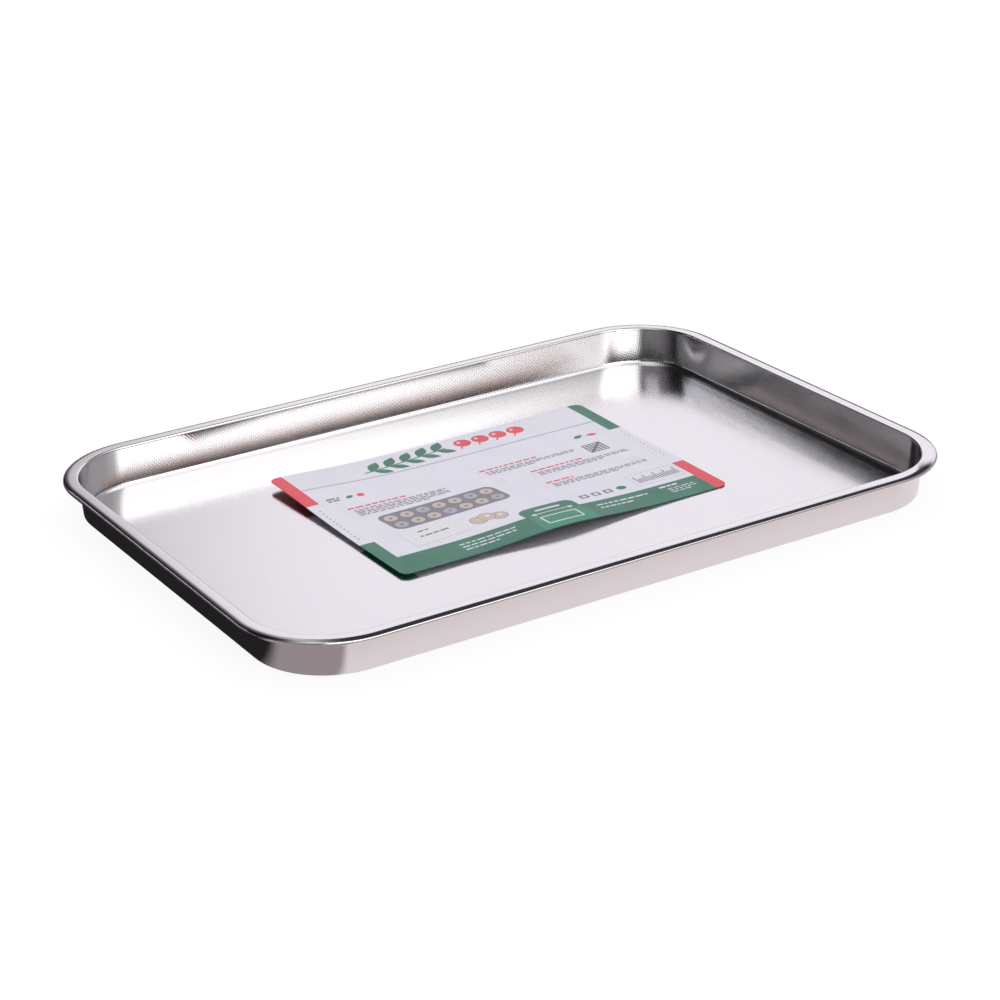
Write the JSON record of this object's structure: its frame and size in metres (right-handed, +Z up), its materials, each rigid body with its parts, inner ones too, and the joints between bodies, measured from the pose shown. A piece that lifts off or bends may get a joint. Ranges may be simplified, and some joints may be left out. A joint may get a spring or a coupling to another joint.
{
  "type": "baking tray",
  "caption": "Low rectangular steel baking tray with rounded corners, a narrow flat rolled rim and embossed sheet, holding its loose printed card.",
  "frame": {"origin": "centre of the tray's underside", "axes": "+X along the long side, +Y to the back long side, +Z up out of the tray"},
  "size_m": [0.4, 0.28, 0.022],
  "materials": {
    "steel_sheet": "satin, embossed with a fine diamond texture",
    "printed_card": "coated, semi-matt",
    "sticker_paper": "matt",
    "glue": "clear, tacky"
  },
  "bodies": {
    "tray": {"tray_pan": "steel_sheet"},
    "card": {"info_card": "printed_card", "lot_sticker": "sticker_paper", "glue_dot_middle": "glue", "glue_dot_right": "glue"}
  },
  "joints": [
    {"name": "card_lift", "type": "slide", "parent": "tray", "child": "card", "axis": [0, 0, 1], "range_m": [0, 0.06]}
  ]
}
